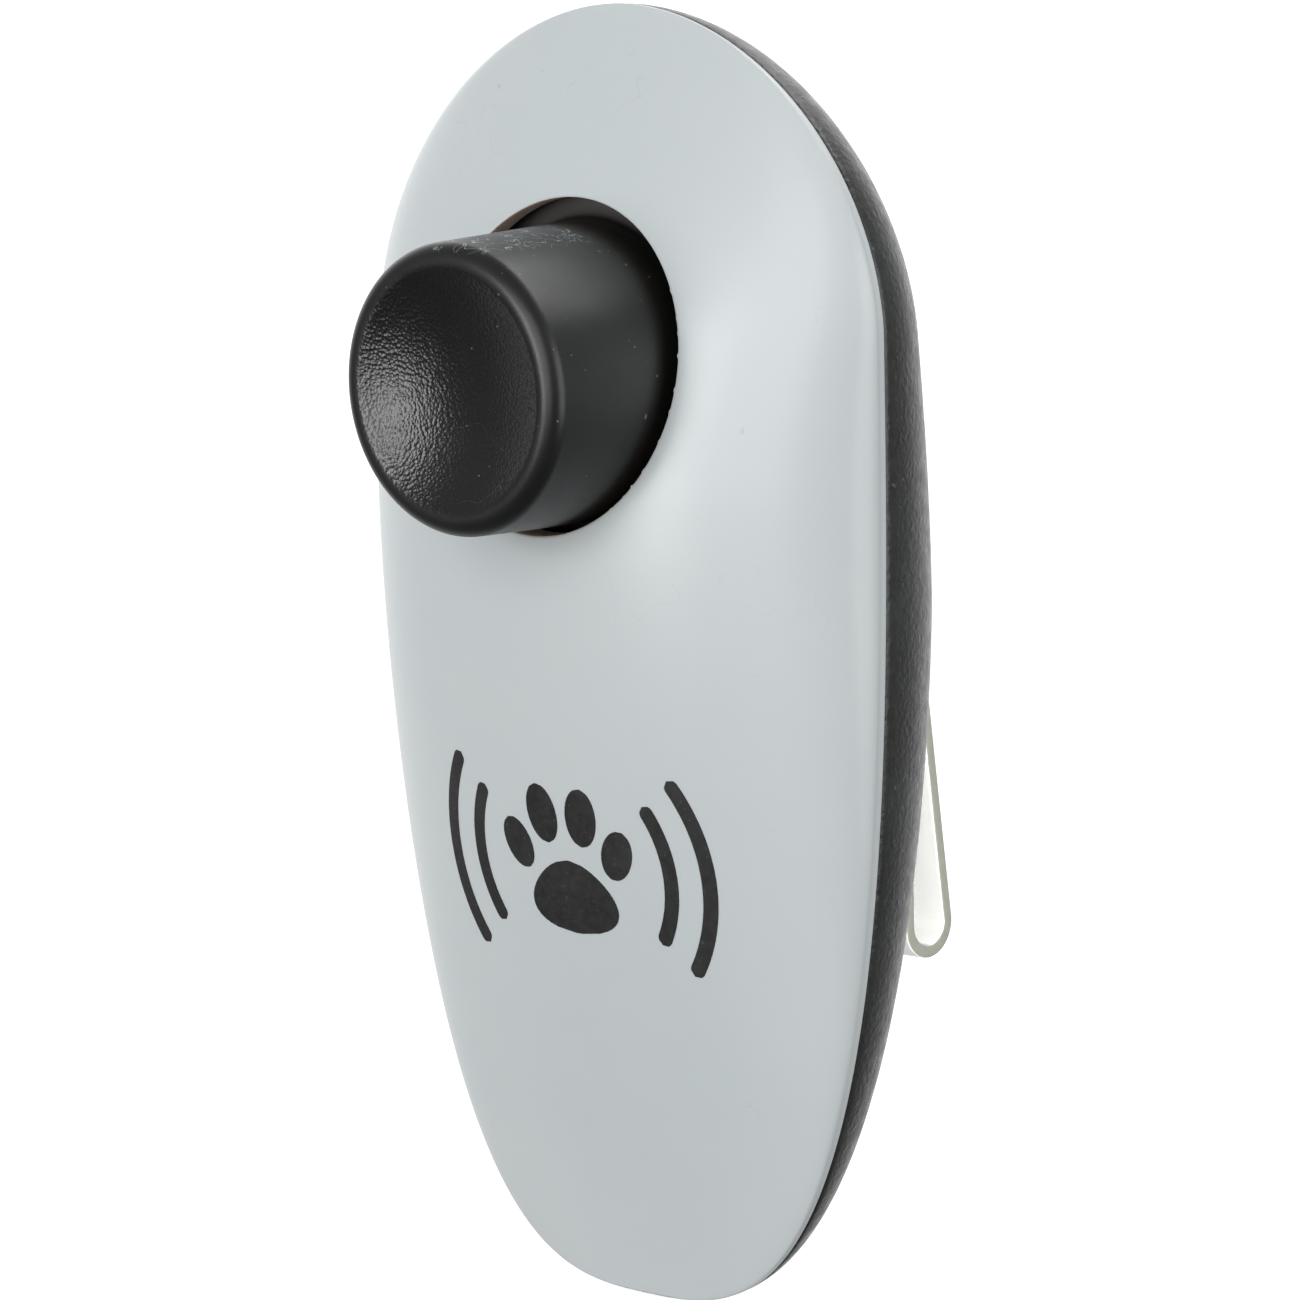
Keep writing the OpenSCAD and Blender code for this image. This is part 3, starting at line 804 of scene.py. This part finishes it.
def strip(name, path, half_width, thickness, corner):
    """Sheet bent along a path of (y, z) points, with rounded corners at its two ends."""
    path = np.array(path, float)
    step = np.gradient(path, axis=0)
    step /= np.linalg.norm(step, axis=1)[:, None]
    normal = np.stack([step[:, 1], -step[:, 0]], 1)
    run = np.concatenate([[0], np.cumsum(np.linalg.norm(np.diff(path, axis=0), axis=1))])
    rings = []
    for p, n, s in zip(path, normal, run):
        narrow = 0.0
        for distance, r in ((s, corner[0]), (run[-1] - s, corner[1])):
            if distance < r:
                narrow = r - math.sqrt(max(0.0, r * r - (r - distance) ** 2))
        rings.append([(u, p[0] + n[0] * v, p[1] + n[1] * v)
                      for u, v in section_points(half_width - narrow, thickness / 2)])
    return loft(name, rings)


def end_steps(length, corner):
    """Distances along a strip, closer together where its corners are rounded."""
    near = [corner * (1 - math.cos(a)) for a in np.linspace(0, math.pi / 2, 9)]
    return near + list(np.linspace(corner, length, max(4, int((length - corner) / 0.6))))[1:]


BEND_R = CLIP_GAP / 2 + CLIP_THICKNESS / 2
BEND_CENTRE = np.array([CLIP_SEAT + CLIP_THICKNESS + CLIP_GAP / 2, CLIP_BEND_Z])


def clip_fixed_leg():
    y = CLIP_SEAT + CLIP_THICKNESS / 2
    corner = 2.0
    path = [(y, CLIP_TOP_Z - d) for d in end_steps(CLIP_TOP_Z - CLIP_BEND_Z, corner)]
    leg = strip("clip_fixed_leg_visual", path, CLIP_HALF_WIDTH, CLIP_THICKNESS, (corner, 0))
    holes = [rod(RIVET_R, CLIP_SEAT - 1, CLIP_SEAT + 2, x, RIVET_Z) for x in (-RIVET_X, RIVET_X)]
    return combine(leg, holes, "DIFFERENCE")


def clip_spring_leg():
    """The bend and the free leg, which leans in until it rests on the fixed leg and then flares out."""
    bend = [BEND_CENTRE - BEND_R * np.array([math.cos(a), math.sin(a)]) for a in np.linspace(0, math.pi, 40)]
    root = bend[-1]
    half = CLIP_THICKNESS / 2
    touch = np.array([CLIP_SEAT + CLIP_THICKNESS + half + 0.02, CLIP_TOUCH_Z])
    tip = touch + FLARE_LENGTH * np.array([math.sin(FLARE_ANGLE), math.cos(FLARE_ANGLE)])
    turn = rounded([(*root, 0), (*touch, 1.2), (*tip, 0)], 11)
    leg = [root + (turn[1] - root) * t for t in np.linspace(0, 1, 26)[1:-1]]
    corner = 1.5
    end = [tip + (turn[-2] - tip) * t / FLARE_LENGTH for t in end_steps(FLARE_LENGTH * 0.9, corner)]
    path = bend + leg + turn[1:-1] + end[::-1][1:]
    return strip("clip_spring_leg_visual", path, CLIP_HALF_WIDTH, CLIP_THICKNESS, (0, corner))


def click_reed():
    """The reed as one strip: screwed root, bending line, pressed dimple and rounded tip."""
    length = REED_TIP_Z - REED_END_Z
    heights = [REED_END_Z + length * t for t in np.linspace(0, 1, 110)[:-1]]
    heights = [z for z in heights if z < REED_TIP_Z - TIP_CORNER]
    heights += [REED_TIP_Z - TIP_CORNER * (1 - math.sin(a)) for a in np.linspace(0, math.pi / 2, 10)]
    rings = []
    half = REED_THICKNESS / 2
    dimple_ball = (DIMPLE_R ** 2 + DIMPLE_HEIGHT ** 2) / (2 * DIMPLE_HEIGHT)
    columns = np.linspace(-1, 1, 37)
    for z in heights:
        inward = max(0.0, TIP_CORNER - (REED_TIP_Z - z))
        narrow = TIP_CORNER - math.sqrt(max(0.0, TIP_CORNER ** 2 - inward ** 2))
        x = columns * (REED_HALF_WIDTH - narrow)
        r2 = x * x + (z - DIMPLE_Z) ** 2
        rise = np.sqrt(np.maximum(dimple_ball ** 2 - r2, 0)) - (dimple_ball - DIMPLE_HEIGHT)
        rise = np.where(r2 < DIMPLE_R ** 2, np.maximum(rise, 0), 0)
        top = np.stack([x, REED_Y - half - rise, np.full(len(x), z)], 1)
        bottom = np.stack([x, REED_Y + half - rise, np.full(len(x), z)], 1)
        rings.append(np.concatenate([top, bottom[::-1]]))
    reed = loft("click_reed_visual", rings)
    holes = [rod(SCREW_R + 0.05, REED_Y - 1, REED_Y + 1, 0, z) for z in REED_SCREW_Z]
    return combine(reed, holes, "DIFFERENCE")


def reed_clamp():
    """The plate that holds the reed down, with broken edges and two holes."""
    top = REED_Y - REED_THICKNESS / 2 - CLAMP_THICKNESS
    rounding = ((0, top + CLAMP_THICKNESS), (0, top + 0.15), (0.04, top + 0.04), (0.15, top))
    rings = [plate_ring(REED_HALF_WIDTH, REED_END_Z, REED_BEND_Z - 0.05, inset, y, 1.0, 7)
             for inset, y in rounding]
    plate = loft("reed_clamp_visual", rings)
    holes = [rod(SCREW_R + 0.05, top - 1, top + 2, 0, z) for z in REED_SCREW_Z]
    return combine(plate, holes, "DIFFERENCE")


# ---------- printed mark ----------

PRINT_Z = -8.9
INK_ABOVE = 0.02
INK_BELOW = 0.03


def film(name, rows):
    """A thin film of ink on the front dome, through rows of (x, z) points."""
    rows = [np.array(row, float) for row in rows]
    count, n = len(rows), len(rows[0])
    points, faces = [], []
    for lift in (-INK_ABOVE, INK_BELOW):
        for row in rows:
            for x, z in row:
                points.append((x, float(front_y(np.array(x), np.array(z))) + lift, z))
    size = count * n
    for r in range(count - 1):
        for i in range(n - 1):
            a, b, c, d = r * n + i, r * n + i + 1, (r + 1) * n + i + 1, (r + 1) * n + i
            faces += [(a, b, c, d), (size + d, size + c, size + b, size + a)]
    edge = list(range(n)) + [r * n + n - 1 for r in range(1, count)]
    edge += list(range(count * n - 2, (count - 1) * n - 1, -1)) + [r * n for r in range(count - 2, 0, -1)]
    for a, b in zip(edge, edge[1:] + edge[:1]):
        faces.append((a, size + a, size + b, b))
    return solid(name, points, faces)


def pad_of_ink(x, z, half_width, half_height, lean=0.0, waist=0.0):
    """An egg-shaped blot as rows across it: narrower at the top by the waist, leaning by an angle."""
    rows = []
    for t in np.linspace(-0.998, 0.998, 25):
        w = half_width * math.sqrt(1 - t * t) * (1 - waist * t)
        row = []
        for s in np.linspace(-1, 1, 17):
            u, v = s * w, t * half_height
            row.append((x + u * math.cos(lean) + v * math.sin(lean),
                        z - u * math.sin(lean) + v * math.cos(lean)))
        rows.append(row)
    return film("blot", rows)


def arc_of_ink(side, radius, half_angle, width):
    """A sound wave beside the paw: an arc with round ends."""
    rows = []
    tip = width / 2 / radius
    for a in np.linspace(-half_angle - tip, half_angle + tip, 61):
        over = max(0.0, abs(a) - half_angle) / tip
        w = width / 2 * math.sqrt(max(1 - over * over, 0.0004))
        rows.append([(side * (radius + w * s) * math.cos(a), PRINT_Z + (radius + w * s) * math.sin(a))
                     for s in np.linspace(-1, 1, 7)])
    return film("wave", rows)


def printed_mark():
    blots = [pad_of_ink(0, PRINT_Z - 1.55, 2.55, 1.75, waist=0.28)]
    for side in (-1, 1):
        blots.append(pad_of_ink(side * 3.05, PRINT_Z + 0.75, 0.85, 1.25, lean=side * 0.42))
        blots.append(pad_of_ink(side * 1.2, PRINT_Z + 2.35, 0.92, 1.4, lean=side * 0.13))
        blots.append(arc_of_ink(side, 5.9, math.radians(30), 0.75))
        blots.append(arc_of_ink(side, 7.9, math.radians(33), 0.75))
    return joined("printed_paw_visual", blots)


# ---------- the pieces, tied to the frame ----------

place(front_shell(), ["front_shell"], GREY, "case")
place(back_shell(), ["back_shell"], BLACK, "case")
place(button(), ["button"], BUTTON_BLACK, "thumb_button")
fixed_leg = place(clip_fixed_leg(), ["clip_base"], CLIP_STEEL, "case")
place(joined("case_screws_visual", [threaded(z, SEAT_Y, 1) for z in CASE_SCREW_Z]),
      ["case_screws"], SCREW_STEEL, "case")
clamp_top = REED_Y - REED_THICKNESS / 2 - CLAMP_THICKNESS
place(joined("reed_screws_visual", [threaded(z, clamp_top, -1) for z in REED_SCREW_Z]),
      ["reed_screws"], SCREW_STEEL, "case")
place(joined("clip_rivets_visual", [rivet(-RIVET_X), rivet(RIVET_X)]),
      ["clip_rivets"], RIVET_STEEL, "case")
place(joined("rivet_washers_visual", [washer(-RIVET_X), washer(RIVET_X)]),
      ["rivet_washers"], RIVET_STEEL, "case")
place(reed_clamp(), ["reed_clamp"], CLAMP_STEEL, "case")
place(printed_mark(), [], INK, "case")

# on the clicker the clip's free leg flexes along its bend and the reed just past its clamp; here both are
# tied to no body, their placement baked into their meshes
spring_leg = place(clip_spring_leg(), ["clip_arm"], CLIP_STEEL)
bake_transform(spring_leg)

reed = place(click_reed(), ["reed_root", "reed_blade"], REED_STEEL)
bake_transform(reed)


# ---------- camera: aimed from the datum plane's middle, distances in millimetres ----------

AZIMUTH = math.radians(42.743)
ELEVATION = math.radians(9.259)
ROLL = math.radians(1.146)
DISTANCE = 310.0
AIM_RIGHT = 0.669
AIM_UP = 0.373
LENS = 187.0
SENSOR = 36.0


def bearing(azimuth, elevation):
    """A unit vector. Azimuth 0 is in front of the button, 90 degrees at +X."""
    level = math.cos(elevation)
    return Vector((math.sin(azimuth) * level, -math.cos(azimuth) * level, math.sin(elevation)))


right = Vector((math.cos(AZIMUTH), math.sin(AZIMUTH), 0))
back = bearing(AZIMUTH, ELEVATION)
up = back.cross(right)
camera_right = right * math.cos(ROLL) - up * math.sin(ROLL)
camera_up = right * math.sin(ROLL) + up * math.cos(ROLL)
spot = Vector((0, DATUM_Y, 0)) + right * AIM_RIGHT + up * AIM_UP + back * DISTANCE

camera_data = bpy.data.cameras.new("camera")
camera_data.lens = LENS
camera_data.sensor_width = SENSOR
camera_data.clip_start = 0.01
camera_data.clip_end = 20.0
camera = bpy.data.objects.new("camera", camera_data)
turn = Matrix((camera_right, camera_up, back)).transposed().to_4x4()
camera.matrix_world = Matrix.Translation(spot * MM) @ turn
scene.collection.objects.link(camera)
scene.camera = camera


# ---------- floor and light ----------

def floor():
    """A plain pale sheet under the object, which neither shades the object nor colours it."""
    reach = 3.0  # metres
    level = cad_box[0].z - 0.4 * MM
    bm = bmesh.new()
    bm.faces.new([bm.verts.new((x * reach, y * reach, level)) for x, y in SQUARE])
    mesh = bpy.data.meshes.new("floor")
    bm.to_mesh(mesh)
    bm.free()
    obj = bpy.data.objects.new("floor", mesh)
    scene.collection.objects.link(obj)
    obj.visible_diffuse = False
    obj.visible_glossy = False
    obj.visible_transmission = False
    obj.visible_shadow = False
    f = Finish("pale_studio_floor", Roughness=0.9, Emission_Color=(1, 1, 1, 1), Emission_Strength=0.86)
    f.shader.inputs["Specular IOR Level"].default_value = 0.1
    f.use("Base Color", f.mix(f.noise(6, detail=3), srgb(176, 176, 176), srgb(182, 182, 182)))
    mesh.materials.append(f.material)


def softbox(name, azimuth, elevation, distance, size, radiance):
    """An area light that faces the object: angles in degrees, distance and size in metres."""
    data = bpy.data.lights.new(name, "AREA")
    data.shape = "RECTANGLE"
    data.size, data.size_y = size
    data.energy = radiance * math.pi * size[0] * size[1]
    away = bearing(math.radians(azimuth), math.radians(elevation))
    light = bpy.data.objects.new(name, data)
    light.location = away * distance
    light.rotation_euler = away.to_track_quat("Z", "Y").to_euler()
    light.visible_camera = False
    scene.collection.objects.link(light)
    return light


BACKDROP = 1.4
ROOM = 0.26


def studio():
    """A white backdrop behind the object, a dimmer room in front, both lighter above than below."""
    world = bpy.data.worlds.new("studio")
    world.use_nodes = True
    tree = world.node_tree
    ground = tree.nodes["Background"]
    direction = tree.nodes.new("ShaderNodeTexCoord").outputs["Generated"]

    def math_node(operation, a, b):
        node = tree.nodes.new("ShaderNodeMath")
        node.operation = operation
        tree.links.new(a, node.inputs[0])
        tree.links.new(b, node.inputs[1])
        return node.outputs[0]

    def towards(axis, low, high, to_low, to_high):
        """Brightness that changes smoothly with the direction's share along an axis."""
        dot = tree.nodes.new("ShaderNodeVectorMath")
        dot.operation = "DOT_PRODUCT"
        dot.inputs[1].default_value = axis
        tree.links.new(direction, dot.inputs[0])
        ramp = tree.nodes.new("ShaderNodeMapRange")
        ramp.interpolation_type = "SMOOTHSTEP"
        for key, value in (("From Min", low), ("From Max", high), ("To Min", to_low), ("To Max", to_high)):
            ramp.inputs[key].default_value = value
        tree.links.new(dot.outputs["Value"], ramp.inputs["Value"])
        return ramp.outputs[0]

    backdrop = towards(back, -0.95, -0.35, BACKDROP, ROOM)
    height = towards((0, 0, 1), -0.9, 0.9, 0.5, 1.5)
    path = tree.nodes.new("ShaderNodeLightPath")
    lit = math_node("MULTIPLY", backdrop, height)
    tree.links.new(math_node("MAXIMUM", path.outputs["Is Camera Ray"], lit), ground.inputs["Strength"])
    ground.inputs["Color"].default_value = (1, 1, 1, 1)
    scene.world = world


floor()
studio()
softbox("strip", -15, 5, 0.9, (0.24, 0.5), 9)
softbox("key", 13, 14, 0.9, (0.6, 0.8), 2.45)
softbox("side", 97, 5, 1.0, (0.6, 0.9), 2.8)
# this one falls on the clip alone, to brighten the inside of its loop
fill = softbox("clip fill", 66, 6, 0.9, (0.5, 0.9), 15)
clip_only = bpy.data.collections.new("lit by the clip fill")
for leg in (fixed_leg, spring_leg):
    clip_only.objects.link(leg)
fill.light_linking.receiver_collection = clip_only
softbox("overhead", 165, 54, 0.9, (0.8, 0.4), 3.1)
scene.view_settings.view_transform = "Standard"
scene.view_settings.look = "None"
